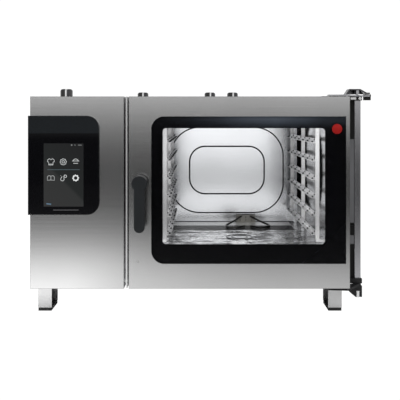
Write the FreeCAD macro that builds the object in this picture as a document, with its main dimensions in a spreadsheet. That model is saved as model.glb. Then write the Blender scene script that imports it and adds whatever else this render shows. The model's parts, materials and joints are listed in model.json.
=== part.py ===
import FreeCAD, Part
import os
import math
import Sketcher

# Table-top combi steamer with a glazed door that swings open on a post and then
# pushes back along the right side.  Millimetres, +Z up, front of the oven towards -Y.
# The origin is on the table under the middle of the oven's bounding box.

V = FreeCAD.Vector
os.makedirs("parts", exist_ok=True)
doc = FreeCAD.newDocument("combi_steamer")
sheet = doc.addObject("Spreadsheet::Sheet", "Sizes")

# Driving dimensions: one spreadsheet cell each.
DIMENSIONS = {
    # casing
    "body_left": -602, "body_right": 518, "body_bottom": 117, "body_top": 786,
    "front": -434, "case_front": -350, "rear": 496, "sheet": 2,
    "panel_right": -276, "gap_right": -259, "glass_left": -608, "glass_right": -361,
    "glass_low": 375, "glass_high": 719, "glass_proud": 8,
    # door
    "door_left": -259, "door_right": 511, "door_rear": -356, "pane_left": -181, "pane_right": 498,
    "pane_low": 203, "pane_high": 717, "pane_thick": 4, "pane_round": 45,
    "view_left": -141, "view_right": 424, "view_low": 272, "view_high": 675.5, "view_round": 12,
    # cooking chamber
    "cav_left": -240, "cav_right": 449, "cav_low": 206, "cav_high": 718, "cav_back": 426,
    "suction_face": -163, "rack_pitch": 68, "first_rail": 281, "rack_front": -294, "rack_depth": 650,
    # swing post and door rails
    "pivot_across": 560, "pivot_along": -334.5, "pivot_radius": 5, "post_width": 23, "post_depth": 20,
    "rail_middle": -396, "rail_width": 32, "slot_width": 16, "slot_left": -170, "rail_height": 20,
    "shoe_left": 441, "shoe_length": 59, "arm_thick": 5, "lower_arm_thick": 9,
    # handle
    "knob_across": -217, "knob_height": 487, "knob_round": 27, "lever_width": 37, "lever_drop": 166,
    "handle_front": -496, "spindle_round": 8,
    # fan
    "fan_along": 40, "fan_height": 462, "fan_round": 150, "shaft_round": 10,
    # feet, vents and drain
    "foot_width": 50, "foot_length": 100, "foot_front": -302, "pad_height": 12,
    "vent_round": 25, "vent_top": 830, "drain_across": 156, "drain_along": 40, "drain_round": 25,
}


class Size:
    """A number together with the spreadsheet formula that gives it."""

    def __init__(self, value, text):
        self.value = value
        self.text = text

    def __add__(self, other):
        other = size(other)
        return Size(self.value + other.value, f"({self.text} + {other.text})")

    def __sub__(self, other):
        other = size(other)
        return Size(self.value - other.value, f"({self.text} - {other.text})")

    def __mul__(self, factor):
        return Size(self.value * factor, f"({self.text} * {factor})")

    def __truediv__(self, factor):
        return Size(self.value / factor, f"({self.text} / {factor})")

    def __neg__(self):
        return Size(-self.value, f"(0 - {self.text})")


def size(number):
    return number if isinstance(number, Size) else Size(float(number), f"({number})")


D = {}
for row, (alias, number) in enumerate(DIMENSIONS.items(), start=1):
    sheet.set(f"A{row}", alias)
    sheet.set(f"B{row}", str(number))
    sheet.setAlias(f"B{row}", alias)
    D[alias] = Size(float(number), f"Sizes.{alias}")
doc.recompute()

NODES = []
SIDE = {"xy": "XY_Plane", "xz": "XZ_Plane", "yz": "YZ_Plane"}


# ---------------------------------------------------------------- drawing helpers

def body(name, own_node=True):
    made = doc.addObject("PartDesign::Body", "Body_" + name)
    made.Label = name
    made.Placement = FreeCAD.Placement()
    if own_node:
        NODES.append(made)
    return made


def bind(sketch, kind, geometry, point, formula):
    number = sketch.addConstraint(Sketcher.Constraint(kind, geometry, point, formula.value))
    sketch.setExpression(f"Constraints[{number}]", formula.text)


def bind_point(sketch, geometry, point, place):
    bind(sketch, "DistanceX", geometry, point, place[0])
    bind(sketch, "DistanceY", geometry, point, place[1])


def same_place(a, b):
    return abs(a[0].value - b[0].value) + abs(a[1].value - b[1].value) < 1e-6


def bind_radius(sketch, geometry, formula):
    number = sketch.addConstraint(Sketcher.Constraint("Radius", geometry, formula.value))
    sketch.setExpression(f"Constraints[{number}]", formula.text)


def rect(x0, y0, x1, y1, rounds=None):
    """Corners anticlockwise from the low left one; rounds gives a radius for each, or one for all."""
    corners = [(size(x0), size(y0)), (size(x1), size(y0)), (size(x1), size(y1)), (size(x0), size(y1))]
    if rounds is None:
        rounds = 0
    if not isinstance(rounds, (list, tuple)):
        rounds = [rounds] * 4
    return ("outline", corners, [size(r) for r in rounds])


def poly(*points):
    return ("outline", [(size(x), size(y)) for x, y in points], [size(0)] * len(points))


def circle(x, y, radius):
    return ("circle", size(x), size(y), size(radius))


def draw_outline(sketch, corners, rounds):
    """Straight edges between the corners, with a quarter-circle arc where a right-angled corner is round."""
    ends = []
    for number, (x, y) in enumerate(corners):
        before = corners[number - 1]
        after = corners[(number + 1) % len(corners)]
        r = rounds[number]
        if r.value == 0:
            ends.append([(x, y), (x, y)])
            continue
        points = []
        for other in (before, after):
            step_x = (other[0].value > x.value) - (other[0].value < x.value)
            step_y = (other[1].value > y.value) - (other[1].value < y.value)
            points.append((x + r * step_x, y + r * step_y))
        ends.append(points)
    pieces = []
    for number, (start, stop) in enumerate(ends):
        r = rounds[number]
        if r.value:
            x, y = corners[number]
            a, b = V(start[0].value, start[1].value, 0), V(stop[0].value, stop[1].value, 0)
            corner = V(x.value, y.value, 0)
            centre = a + b - corner
            index = sketch.addGeometry(Part.Arc(a, centre + (corner - centre).normalize() * r.value, b), False)
            begins = sketch.getPoint(index, 1).distanceToPoint(a) < 1e-6
            first, last = (1, 2) if begins else (2, 1)
            pieces.append((index, first, last))
            bind_radius(sketch, index, r)
            # two arcs that meet share a point, which the first of them has already placed
            if not same_place(ends[number - 1][1], start) or number == 0:
                bind_point(sketch, index, first, start)
            if not (number == len(ends) - 1 and same_place(stop, ends[0][0])):
                bind_point(sketch, index, last, stop)
        following = ends[(number + 1) % len(ends)][0]
        if same_place(stop, following):
            continue
        line = Part.LineSegment(V(stop[0].value, stop[1].value, 0), V(following[0].value, following[1].value, 0))
        index = sketch.addGeometry(line, False)
        pieces.append((index, 1, 2))
        if not r.value:
            bind_point(sketch, index, 1, stop)
    for number, piece in enumerate(pieces):
        after = pieces[(number + 1) % len(pieces)]
        sketch.addConstraint(Sketcher.Constraint("Coincident", piece[0], piece[2], after[0], after[1]))


def sketch_on(part, plane, at, loops):
    sketch = part.newObject("Sketcher::SketchObject", "Sketch_" + part.Label)
    role = SIDE[plane]
    origin_plane = [item for item in part.Origin.OriginFeatures if item.Role == role][0]
    sketch.AttachmentSupport = [(origin_plane, "")]
    sketch.MapMode = "FlatFace"
    offset = -at if plane == "xz" else at
    sketch.AttachmentOffset = FreeCAD.Placement(V(0, 0, offset.value), FreeCAD.Rotation())
    sketch.setExpression("AttachmentOffset.Base.z", offset.text)
    for loop in loops:
        if loop[0] == "circle":
            index = sketch.addGeometry(Part.Circle(V(loop[1].value, loop[2].value, 0), V(0, 0, 1),
                                                   loop[3].value), False)
            bind(sketch, "DistanceX", index, 3, loop[1])
            bind(sketch, "DistanceY", index, 3, loop[2])
            bind_radius(sketch, index, loop[3])
        else:
            draw_outline(sketch, loop[1], loop[2])
    return sketch


def extrude(part, plane, low, high, *loops, cut=False):
    """Pad or pocket a sketch from low to high along the plane's world axis."""
    low, high = size(low), size(high)
    depth = high - low
    # A pad goes along the sketch's normal (+Z, +X or -Y); a pocket goes against it.
    start_high = (plane == "xz") != cut
    sketch = sketch_on(part, plane, high if start_high else low, loops)
    kind = "Pocket" if cut else "Pad"
    feature = part.newObject("PartDesign::" + kind, kind + "_" + part.Label)
    feature.Profile = sketch
    feature.Length = depth.value
    feature.setExpression("Length", depth.text)
    doc.recompute()
    return feature


def cut(part, plane, low, high, *loops):
    before = part.Shape.Volume
    feature = extrude(part, plane, low, high, *loops, cut=True)
    if part.Shape.Volume > before - 0.5:
        raise RuntimeError(f"a cut in {part.Label} removed nothing")
    return feature


def fillet(part, radius, wanted):
    """Round every edge of the tip for which wanted(edge) is true."""
    tip = part.Tip
    names = [f"Edge{n}" for n, edge in enumerate(tip.Shape.Edges, start=1) if wanted(edge)]
    feature = part.newObject("PartDesign::Fillet", "Fillet_" + part.Label)
    feature.Base = (tip, names)
    feature.Radius = size(radius).value
    feature.setExpression("Radius", size(radius).text)
    doc.recompute()
    return feature


def on_plane(axis, value, tolerance=0.01):
    """True for an edge that lies wholly on the plane axis = value."""
    def test(edge):
        box = edge.BoundBox
        low, high = getattr(box, axis + "Min"), getattr(box, axis + "Max")
        return abs(low - value) < tolerance and abs(high - value) < tolerance
    return test


def plate(name, plane, low, high, *loops, own_node=True):
    part = body(name, own_node)
    extrude(part, plane, low, high, *loops)
    return part


def joined(name, *solids):
    """One node that holds several separate solids, such as a set of bolts."""
    made = doc.addObject("Part::Compound", "Group_" + name)
    made.Label = name
    made.Placement = FreeCAD.Placement()
    made.Links = list(solids)
    NODES.append(made)
    return made


def primitive(kind, name, place, turn=None, **sizes):
    """A Part primitive with its sizes and its corner or base centre bound to the sheet."""
    made = doc.addObject("Part::" + kind, "Solid_" + name)
    for key, value in sizes.items():
        setattr(made, key, size(value).value)
        made.setExpression(key, size(value).text)
    place = [size(value) for value in place]
    made.Placement = FreeCAD.Placement(V(*[value.value for value in place]), turn or FreeCAD.Rotation())
    for axis, value in zip("xyz", place):
        made.setExpression("Placement.Base." + axis, value.text)
    return made


def box(name, low, high):
    low = [size(value) for value in low]
    high = [size(value) for value in high]
    spans = [b - a for a, b in zip(low, high)]
    return primitive("Box", name, low, Length=spans[0], Width=spans[1], Height=spans[2])


TURN = {"z": FreeCAD.Rotation(), "x": FreeCAD.Rotation(V(0, 1, 0), 90), "y": FreeCAD.Rotation(V(1, 0, 0), -90)}


def rod(name, place, axis, radius, length):
    return primitive("Cylinder", name, place, TURN[axis], Radius=radius, Height=length)


def combine(kind, name, *pieces):
    made = doc.addObject("Part::" + kind, "Joined_" + name)
    if kind == "Cut":
        made.Base, made.Tool = pieces
    else:
        made.Shapes = list(pieces)
    return made


def node(name, made):
    made.Label = name
    NODES.append(made)
    return made


# ---------------------------------------------------------------- cabinet

S = D["sheet"]
INNER_LEFT, INNER_RIGHT = D["body_left"] + S, D["body_right"] - S
FLOOR_TOP = D["body_bottom"] + S
ROOF_UNDER = D["body_top"] - S
VENTS = [(-558, -42), (-276, 306), (35, 306), (140, 306)]
WATER_PORTS = [(-520, 180), (-460, 180)]
CABLE_PORT = (-540, 250)
BRACKET_ACROSS = 209
SILL_HIGH = 3


def casing():
    """Closed sheet-metal housing: base, sides, roof and a rear panel with its ports and louvres."""
    plate("base_tray", "xy", D["body_bottom"], FLOOR_TOP,
          rect(D["body_left"], D["case_front"], D["body_right"], D["rear"]),
          circle(D["drain_across"], D["rear"] - 90, D["drain_round"] + 1))
    plate("left_side_panel", "yz", D["body_left"], INNER_LEFT,
          rect(D["case_front"], FLOOR_TOP, D["rear"], D["body_top"]))
    plate("right_side_panel", "yz", INNER_RIGHT, D["body_right"],
          rect(D["case_front"], FLOOR_TOP, D["rear"], D["body_top"]))
    plate("roof_panel", "xy", ROOF_UNDER, D["body_top"],
          rect(INNER_LEFT, D["case_front"], INNER_RIGHT, D["rear"]),
          *[circle(x, y, D["vent_round"] + 0.5) for x, y in VENTS])
    rear = plate("rear_panel", "xz", D["rear"] - S, D["rear"],
                 rect(INNER_LEFT, FLOOR_TOP, INNER_RIGHT, ROOF_UNDER),
                 *[circle(x, z, 12) for x, z in WATER_PORTS], circle(*CABLE_PORT, 14))
    first_louvre, louvre_pitch, louvre_high = 560, 14, 5
    for step in range(9):
        low = first_louvre + step * louvre_pitch
        cut(rear, "xz", D["rear"] - S, D["rear"], rect(-560, low, -400, low + louvre_high))


def front_frame():
    """Frame that carries the chamber's mouth, and the trim in the gap beside the door."""
    frame = plate("front_frame", "xz", D["case_front"], D["case_front"] + S,
                  rect(INNER_LEFT, FLOOR_TOP, INNER_RIGHT, ROOF_UNDER),
                  rect(D["suction_face"], D["cav_low"], D["cav_right"], D["cav_high"], 8))
    # opening from the control housing into the electrical compartment behind it
    cut(frame, "xz", D["case_front"], D["case_front"] + S,
        rect(D["body_left"] + 20, D["body_bottom"] + 20, D["panel_right"] - 20, D["body_top"] - 20))
    strip_left = D["panel_right"] + 6
    plate("gap_trim_strip", "xz", D["front"] + 6, D["case_front"],
          rect(strip_left, D["body_bottom"], strip_left + 5.5, D["body_top"]))


def control_front():
    """Left front with the glass control panel, its display and the electronics behind it."""
    shell = plate("control_front_panel", "xz", D["front"], D["case_front"],
                  rect(D["body_left"], D["body_bottom"], D["panel_right"], D["body_top"]))
    cut(shell, "xz", D["front"] + S, D["case_front"],
        rect(INNER_LEFT, FLOOR_TOP, D["panel_right"] - S, ROOF_UNDER))
    cut(shell, "xz", D["front"], D["front"] + S, rect(-560, 390, -400, 640))
    # glass control panel: the right corners are round, the left edge overhangs the casing
    glass = plate("control_glass", "xz", D["front"] - D["glass_proud"], D["front"],
                  rect(D["glass_left"], D["glass_low"], D["glass_right"], D["glass_high"], [0, 42, 42, 0]))
    fillet(glass, 1.2, on_plane("Y", (D["front"] - D["glass_proud"]).value))
    plate("display_screen", "xz", D["front"], D["front"] + 3, rect(-553, 404, -415, 623))
    display_back, board_front = D["front"] + 3, D["front"] + 14
    board_back = board_front + 2
    board = plate("control_board", "xz", board_front, board_back, rect(-556, 400, -404, 632))
    extrude(board, "xz", board_back, board_back + 10, rect(-540, 420, -500, 460), rect(-480, 540, -430, 600))
    extrude(board, "xz", display_back, board_front,
            *[circle(x, z, 3.4) for x in (-548, -420) for z in (410, 616)])


def feet():
    """Four bent sheet channels that open inwards, each on a rubber pad."""
    sheet_thick, front_to_rear = 3, 620
    spots = []
    for left, opens in ((D["glass_left"], 1), (D["body_right"] - D["foot_width"] - 6, -1)):
        for front in (D["foot_front"], D["foot_front"] + front_to_rear):
            spots.append((left, front, opens))
    legs, pads = [], []
    for left, front, opens in spots:
        right = left + D["foot_width"]
        back = front + D["foot_length"]
        foot = plate("leg", "xy", D["pad_height"], D["body_bottom"], rect(left, front, right, back),
                     own_node=False)
        inner_left = left + sheet_thick if opens > 0 else left
        inner_right = right if opens > 0 else right - sheet_thick
        cut(foot, "xy", D["pad_height"], D["body_bottom"] - sheet_thick,
            rect(inner_left, front + sheet_thick, inner_right, back - sheet_thick))
        legs.append(foot)
        pads.append(box("pad", (left + 1, front + 1, 0), (right - 1, back - 1, D["pad_height"])))
    joined("feet", *legs)
    joined("foot_pads", *pads)


def vents():
    """Four open pipe stubs on the roof, each with a welded collar."""
    pipes = []
    for x, y in VENTS:
        pipe = plate("vent", "xy", ROOF_UNDER - 20, D["vent_top"], circle(x, y, D["vent_round"]),
                     circle(x, y, D["vent_round"] - 1.5), own_node=False)
        extrude(pipe, "xy", D["body_top"], D["body_top"] + 3,
                circle(x, y, D["vent_round"] + 7), circle(x, y, D["vent_round"] - 1.5))
        pipes.append(pipe)
    joined("roof_vents", *pipes)


# ---------------------------------------------------------------- cooking chamber

def chamber():
    """Five pressed sheets; the back and right walls carry stiffening beads."""
    left, right = D["cav_left"], D["cav_right"]
    low, high, back = D["cav_low"], D["cav_high"], D["cav_back"]
    start = D["case_front"] + S
    floor = plate("cavity_floor", "xy", low - S, low, rect(left, start, right, back),
                  circle(D["drain_across"], D["drain_along"], D["drain_round"]))
    cut(floor, "xy", low - S, low, circle(217, 280, 9))
    # raised step along the back of the floor
    extrude(floor, "xy", low - S, low + SILL_HIGH, rect(D["suction_face"] + 30, back - 104, right - 30, back - 4))
    plate("cavity_ceiling", "xy", high, high + S, rect(left, start, right, back))
    plate("cavity_left_wall", "yz", left - S, left, rect(start, low - S, back, high + S),
          circle(D["fan_along"], D["fan_height"], D["shaft_round"] + 4),
          circle(D["fan_along"] + 225, D["fan_height"] - 200, 6.5),
          circle(D["fan_along"] + 225, D["fan_height"] - 170, 6.5))
    wall = plate("cavity_right_wall", "yz", right, right + S, rect(start, low - S, back, high + S))
    # pressed bead that stiffens the right wall
    bead(wall, "yz", right - 3, right, -231, 135, 330, 690, 165)
    rear = plate("cavity_back_wall", "xz", back, back + S, rect(left - S, low - S, right + S, high + S))
    middle = 119
    bead(rear, "xz", back - 3, back, middle - 180, middle + 180, 345, 574, 75)
    bead(rear, "xz", back - 3, back, middle - 272, middle + 272, 254, 666, 140)


def bead(part, plane, low, high, x0, x1, z0, z1, corner):
    width = 9
    extrude(part, plane, low, high, rect(x0, z0, x1, z1, corner),
            rect(x0 + width, z0 + width, x1 - width, z1 - width, corner - width))


def insulation():
    """Mineral wool slabs between the chamber and the casing."""
    left, right = D["cav_left"], D["cav_right"]
    low, high, back = D["cav_low"], D["cav_high"], D["cav_back"]
    start = D["case_front"] + S
    top = box("wool_top", (left, start, high + S), (right, back, high + S + 40))
    side = box("wool_right", (right + S, start, low - S), (right + S + 40, back, high + S))
    rear = box("wool_rear", (left, back + S, low - S), (right, back + S + 40, high + S))
    joined("insulation", top, side, rear)


def suction_panel():
    """Removable wall in front of the fan, with rings of intake slots and side outlets."""
    face = D["suction_face"]
    panel = plate("suction_panel", "yz", face - S, face, rect(-290, D["cav_low"] + 8, 400, D["cav_high"] - 8, 10))
    for radius in (40, 70, 100):
        count = round(radius / 5)
        holes = []
        for n in range(count):
            angle = 2 * math.pi * n / count
            holes.append(circle(D["fan_along"] + radius * math.cos(angle),
                                D["fan_height"] + radius * math.sin(angle), 9))
        cut(panel, "yz", face - S, face, *holes)
    extrude(panel, "yz", D["cav_left"], face - S + 0.5,
            *[circle(y, z, 6) for y in (-270, 380) for z in (D["cav_low"] + 30, D["cav_high"] - 30)])


def heating():
    """Three heating rings around the fan, their ends brought out through the left wall."""
    rings = []
    for step in range(3):
        ring = primitive("Torus", "heater_ring",
                         (D["cav_left"] + 22 + 15 * step, D["fan_along"], D["fan_height"]), TURN["x"],
                         Radius1=185, Radius2=5)
        rings.append(ring)
    bar = box("heater_bar", (D["cav_left"], D["fan_along"] - 6, D["fan_height"] + 181),
              (D["cav_left"] + 58, D["fan_along"] + 6, D["fan_height"] + 189))
    node("heating_coil", combine("MultiFuse", "heating_coil", *rings, bar))


def fan():
    """Radial fan wheel: back plate, front ring and straight blades on a hub and shaft."""
    y, z = D["fan_along"], D["fan_height"]
    back = D["cav_left"] + 12
    wheel = plate("fan_wheel", "yz", back, back + 3, circle(y, z, D["fan_round"]), circle(y, z, D["shaft_round"]))
    extrude(wheel, "yz", back, back + 30, circle(y, z, 24), circle(y, z, D["shaft_round"]))
    extrude(wheel, "yz", back + 50, back + 53, circle(y, z, D["fan_round"]), circle(y, z, D["fan_round"] - 30))
    blades = []
    for n in range(16):
        angle = 2 * math.pi * n / 16
        c, s = math.cos(angle), math.sin(angle)
        inner, outer, half = D["fan_round"] - 46, D["fan_round"] - 1, 1.5
        corners = []
        for along, across in ((inner, -half), (outer, -half), (outer, half), (inner, half)):
            corners.append((y + along * c - across * s, z + along * s + across * c))
        blades.append(poly(*corners))
    extrude(wheel, "yz", back + 2, back + 51, *blades)
    shaft = combine("MultiFuse", "fan_shaft_solid",
                    rod("shaft_rod", (D["cav_left"] - 90, y, z), "x", D["shaft_round"], 140),
                    rod("shaft_nut", (back + 30, y, z), "x", 17, 9))
    node("fan_shaft", shaft)
    legs = [rod("motor_leg", (D["cav_left"] - 90, y + 60 * i, z + 60 * k), "x", 7, size(90) - S)
            for i in (-1, 1) for k in (-1, 1)]
    shell = combine("MultiFuse", "motor_shell",
                    rod("motor_can", (D["cav_left"] - 240, y, z), "x", 75, 150),
                    rod("motor_flange", (D["cav_left"] - 95, y, z), "x", 95, 10), *legs)
    bore = rod("motor_bore", (D["cav_left"] - 110, y, z), "x", D["shaft_round"] + 0.05, 40)
    node("fan_motor", combine("Cut", "fan_motor_cut", shell, bore))


def steam_and_water():
    """Steam pipes and their valve block behind the fan wall, and the inlets on the rear panel."""
    y, z = D["fan_along"] + 225, D["fan_height"] - 200
    pipes = []
    for lift in (0, 30):
        outer = rod("injector_out", (D["cav_left"] - 120, y, z + lift), "x", 6, 150)
        inner = rod("injector_in", (D["cav_left"] - 121, y, z + lift), "x", 4, 152)
        pipes.append(combine("Cut", "injector", outer, inner))
    valves = box("valve_body", (D["cav_left"] - 180, y - 30, z - 25), (D["cav_left"] - 120, y + 30, z + 55))
    coils = [rod("valve_coil", (D["cav_left"] - 150 + side * 15, y, z + 55), "z", 12, 30) for side in (-1, 1)]
    block = combine("MultiFuse", "valve_block", valves, *coils)
    joined("steam_injection_unit", block, *pipes)
    inlets = []
    for x, z in WATER_PORTS:
        inlet = plate("inlet", "xz", D["rear"] - 26, D["rear"], circle(x, z, 10), circle(x, z, 7),
                      own_node=False)
        extrude(inlet, "xz", D["rear"] - 12, D["rear"] - 4, circle(x, z, 18), circle(x, z, 7))
        inlets.append(inlet)
    joined("water_inlets", *inlets)
    gland = plate("cable_gland", "xz", D["rear"] - 30, D["rear"], circle(*CABLE_PORT, 12), circle(*CABLE_PORT, 8))
    extrude(gland, "xz", D["rear"] - 14, D["rear"] - 4, circle(*CABLE_PORT, 19), circle(*CABLE_PORT, 8))


def drain():
    """Floor drain with a lift-out strainer, a trap under the chamber and an outlet at the rear."""
    x, y = D["drain_across"], D["drain_along"]
    r = D["drain_round"]
    # pipe from the chamber floor down, then back under the chamber to the outlet
    upper = combine("Cut", "drain_neck", rod("neck_out", (x, y, D["body_bottom"] + 50), "z", r + 4, 37),
                    rod("neck_in", (x, y, D["body_bottom"] + 51), "z", r, 37))
    trap = box("trap_box", (x - 45, y - r - 8, D["body_bottom"] + 14),
               (x + 45, D["rear"] - 40, D["body_bottom"] + 60))
    outlet = combine("Cut", "outlet", rod("outlet_out", (x, D["rear"] - 90, D["body_bottom"] - 40), "z", r, 54),
                     rod("outlet_in", (x, D["rear"] - 90, D["body_bottom"] - 41), "z", r - 2, 50))
    node("drain_box", combine("MultiFuse", "drain_box_solid", trap, outlet, upper))
    dome = plate("drain_strainer", "xy", D["cav_low"] + 0.4, D["cav_low"] + 2.4, circle(x, y, 57))
    extrude(dome, "xy", D["cav_low"] - 12, D["cav_low"] + 1, circle(x, y, r - 3), circle(x, y, r - 5))
    holes = []
    for count, radius in ((1, 0), (6, 11), (16, 34), (22, 46)):
        for n in range(count):
            angle = 2 * math.pi * n / count
            holes.append(circle(x + radius * math.cos(angle), y + radius * math.sin(angle), 3))
    cut(dome, "xy", D["cav_low"] - 12, D["cav_low"] + 2.4, *holes)


def wire_run(name, points, radius):
    """Bent wire: a rod along each stretch and a ball at each bend."""
    pieces = []
    for number, start in enumerate(points):
        x, y, z = [size(value) for value in start]
        pieces.append(primitive("Sphere", name + "_bend", (x, y, z), Radius=radius))
        if number == 0:
            continue
        before = [size(value).value for value in points[number - 1]]
        reach = V(x.value - before[0], y.value - before[1], z.value - before[2])
        stretch = rod(name + "_run", points[number - 1], "z", radius, reach.Length)
        stretch.Placement.Rotation = FreeCAD.Rotation(V(0, 0, 1), reach)
        pieces.append(stretch)
    return pieces


def floor_bracket():
    """Perforated plate at the back of the floor, on two wires bent out, forward and back under it."""
    middle, low, back = BRACKET_ACROSS, D["cav_low"] + SILL_HIGH, D["cav_back"]
    face, wire = back - 26, 4.5
    stand = plate("stand", "xz", face, face + 3, rect(middle - 46, low, middle + 46, low + 36, 4),
                  own_node=False)
    pitch, hole = 28, 3.2
    cut(stand, "xz", face, face + 3,
        *[circle(middle + pitch * across, low + up, hole) for across in (-1, 0, 1) for up in (12, 26)])
    rest = low + wire + 0.3
    wires = []
    for side, reach, out in ((-1, 97, 84), (1, 99, 59)):
        wires += wire_run("bracket_wire", [
            (middle + side * 22, face - 2, rest + 26), (middle + side * 60, back - 80, rest + 12),
            (middle + side * reach, back - 125, rest + 1), (middle + side * (reach + 1), back - 150, rest),
            (middle + side * out, back - 196, rest), (middle + side * 50, back - 190, rest),
            (middle + side * 16, back - 150, rest)], wire)
    node("floor_bracket", combine("MultiFuse", "floor_bracket_solid", stand, *wires))


# ---------------------------------------------------------------- racks

def rack(name, face, inward):
    """Hang-in rack: three flat posts with a perforated L-shaped rail at each level."""
    start = D["rack_front"]
    stop = start + D["rack_depth"]
    low, high = D["first_rail"] - 20, D["first_rail"] + D["rack_pitch"] * 6 + 14
    across, along = 14, 8
    flange, ledge = 2, 16
    made = body(name)
    posts = (face, face + across) if inward > 0 else (face - across, face)
    inner = posts[1] if inward > 0 else posts[0]
    upright = (inner, inner + flange) if inward > 0 else (inner - flange, inner)
    shelf = (inner, inner + ledge) if inward > 0 else (inner - ledge, inner)
    for y in (start, start + (D["rack_depth"] - along) / 2, stop - along):
        extrude(made, "yz", *posts, rect(y, low, y + along, high))
    levels = [D["first_rail"] + D["rack_pitch"] * level for level in range(7)]
    for z in levels:
        extrude(made, "yz", *upright, rect(start, z - 2, stop, z + 14))
        extrude(made, "yz", *shelf, rect(start, z - 2, stop, z))
    middle = (shelf[0] + shelf[1]) / 2
    steps = [start + 45 + 80 * n for n in range(8)]
    cut(made, "xy", low, high, *[circle(middle, y, 3.5) for y in steps])
    cut(made, "yz", *upright, *[circle(y + 20, z + 7, 3.5) for y in steps[:7] for z in levels])


def racks():
    """Both racks and the wall pegs that carry their posts from below."""
    left_face, right_face = D["suction_face"] + 15, D["cav_right"] - 18
    rack("rack_left", left_face, 1)
    rack("rack_right", right_face, -1)
    pegs = []
    stop = D["rack_front"] + D["rack_depth"]
    z = D["first_rail"] - 20.4
    for y in (D["rack_front"] + 1, stop - 13):
        pegs.append(box("peg", (D["suction_face"], y, z - 8), (left_face + 12, y + 12, z)))
        pegs.append(box("peg", (right_face - 12, y, z - 8), (D["cav_right"], y + 12, z)))
    joined("rack_pegs", *pegs)


# ---------------------------------------------------------------- door

def door():
    """Hollow glazed door: skin, back frame, printed outer pane, two inner panes and two guide rails."""
    left, right, low, high = D["door_left"], D["door_right"], D["body_bottom"], D["body_top"]
    front, back = D["front"], D["door_rear"]
    view = rect(D["view_left"], D["view_low"], D["view_right"], D["view_high"], D["view_round"])
    rail_front = D["rail_middle"] - D["rail_width"] / 2
    rail_back = D["rail_middle"] + D["rail_width"] / 2
    shell = plate("door_outer_shell", "xz", front, back - S, rect(left, low, right, high))
    cut(shell, "xz", front + S, back - S, rect(left + S, low + S, right - S, high - S))
    cut(shell, "xz", front, front + S,
        rect(D["view_left"] - 4, D["view_low"] - 4, D["view_right"] + 4, D["view_high"] + 4, 16))
    cut(shell, "xz", front, front + S, circle(D["knob_across"], D["knob_height"], D["spindle_round"] + 3))
    for z in (low, high - S):
        cut(shell, "xy", z, z + S, rect(D["slot_left"] - 4, rail_front, right - S, rail_back))
    # the latch pocket opens to the left edge, where the striker enters
    cut(shell, "yz", left, left + S, rect(back - 34, D["knob_height"] - 30, back - S, D["knob_height"] + 30))
    # seen from the front, the wider hole in the back of the door stays hidden behind the black print
    behind = rect(D["view_left"] - 8, D["view_low"] - 24, D["view_right"] + 22, D["view_high"] + 8, 14)
    inner = plate("door_inner_frame", "xz", back - S, back, rect(left, low, right, high), behind)
    cut(inner, "xz", back - S, back, rect(left, D["knob_height"] - 30, left + 40, D["knob_height"] + 30))
    # outer pane, the black enamel print behind it, and two inner panes
    pane_front = front - D["pane_thick"] - 1
    pane = plate("door_outer_glass", "xz", pane_front, front - 1,
                 rect(D["pane_left"], D["pane_low"], D["pane_right"], D["pane_high"],
                      [D["pane_round"], 0, 0, D["pane_round"]]))
    fillet(pane, 1, on_plane("Y", pane_front.value))
    plate("door_glass_border", "xz", front - 1, front,
          rect(D["pane_left"] + 0.5, D["pane_low"] + 0.5, D["pane_right"] - 0.5, D["pane_high"] - 0.5,
               [D["pane_round"], 0, 0, D["pane_round"]]), view)
    pane_edge = rect(D["view_left"] - 20, D["view_low"] - 36, D["view_right"] + 34, D["view_high"] + 18, 16)
    middle_front, inner_front = front + 30, back - S - 5
    joined("door_inner_panes",
           plate("middle_pane", "xz", middle_front, middle_front + 4, pane_edge, own_node=False),
           plate("inner_pane", "xz", inner_front, back - S, pane_edge, own_node=False))
    joined("glass_spacers",
           plate("front_spacer", "xz", front + S, middle_front, pane_edge, behind, own_node=False),
           plate("rear_spacer", "xz", middle_front + 4, inner_front, pane_edge, behind, own_node=False))
    rails = []
    web = 4
    for z0, floor0 in ((high - D["rail_height"], high - D["rail_height"] + web), (low, low)):
        rail = plate("rail", "xy", z0, z0 + D["rail_height"],
                     rect(D["slot_left"] - 4, rail_front, right - S, rail_back), own_node=False)
        cut(rail, "xy", floor0, floor0 + D["rail_height"] - web,
            rect(D["slot_left"], D["rail_middle"] - D["slot_width"] / 2, right - S - 5,
                 D["rail_middle"] + D["slot_width"] / 2))
        rails.append(rail)
    joined("door_rails", *rails)


def latch():
    """The handle's spindle runs through a bearing housing in the door and carries a cam."""
    x, z = D["knob_across"], D["knob_height"]
    front, back = D["front"], D["door_rear"]
    spindle = D["spindle_round"]
    collar = plate("handle_escutcheon", "xz", front - 10, front, circle(x, z, 24), circle(x, z, spindle + 0.05))
    fillet(collar, 2, lambda edge: on_plane("Y", (front - 10).value)(edge) and edge.BoundBox.XLength > 30)
    plate("latch_housing", "xz", front + S, front + 40, rect(x - 30, z - 30, x + 30, z + 30, 6),
          circle(x, z, spindle + 0.05))
    spindle_end = front + 62
    cam = plate("latch_spindle", "xz", D["handle_front"] + 16, spindle_end, circle(x, z, spindle))
    # the cam's nose points down while the handle hangs down
    extrude(cam, "xz", front + 46, front + 54, circle(x, z, 14))
    extrude(cam, "xz", front + 46, front + 54, rect(x - 8, z - 27, x + 8, z - 6))
    knob = plate("door_handle", "xz", D["handle_front"], front - 18, circle(x, z, D["knob_round"]))
    drop = D["lever_drop"] - D["lever_width"] / 2
    half = D["lever_width"] / 2
    extrude(knob, "xz", D["handle_front"], D["handle_front"] + 16,
            rect(x - half, z - drop - half, x + half, z, [half, half, 0, 0]))
    cut(knob, "xz", D["handle_front"] + 16, front - 18, circle(x, z, spindle))
    fillet(knob, 3, on_plane("Y", D["handle_front"].value))


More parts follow.
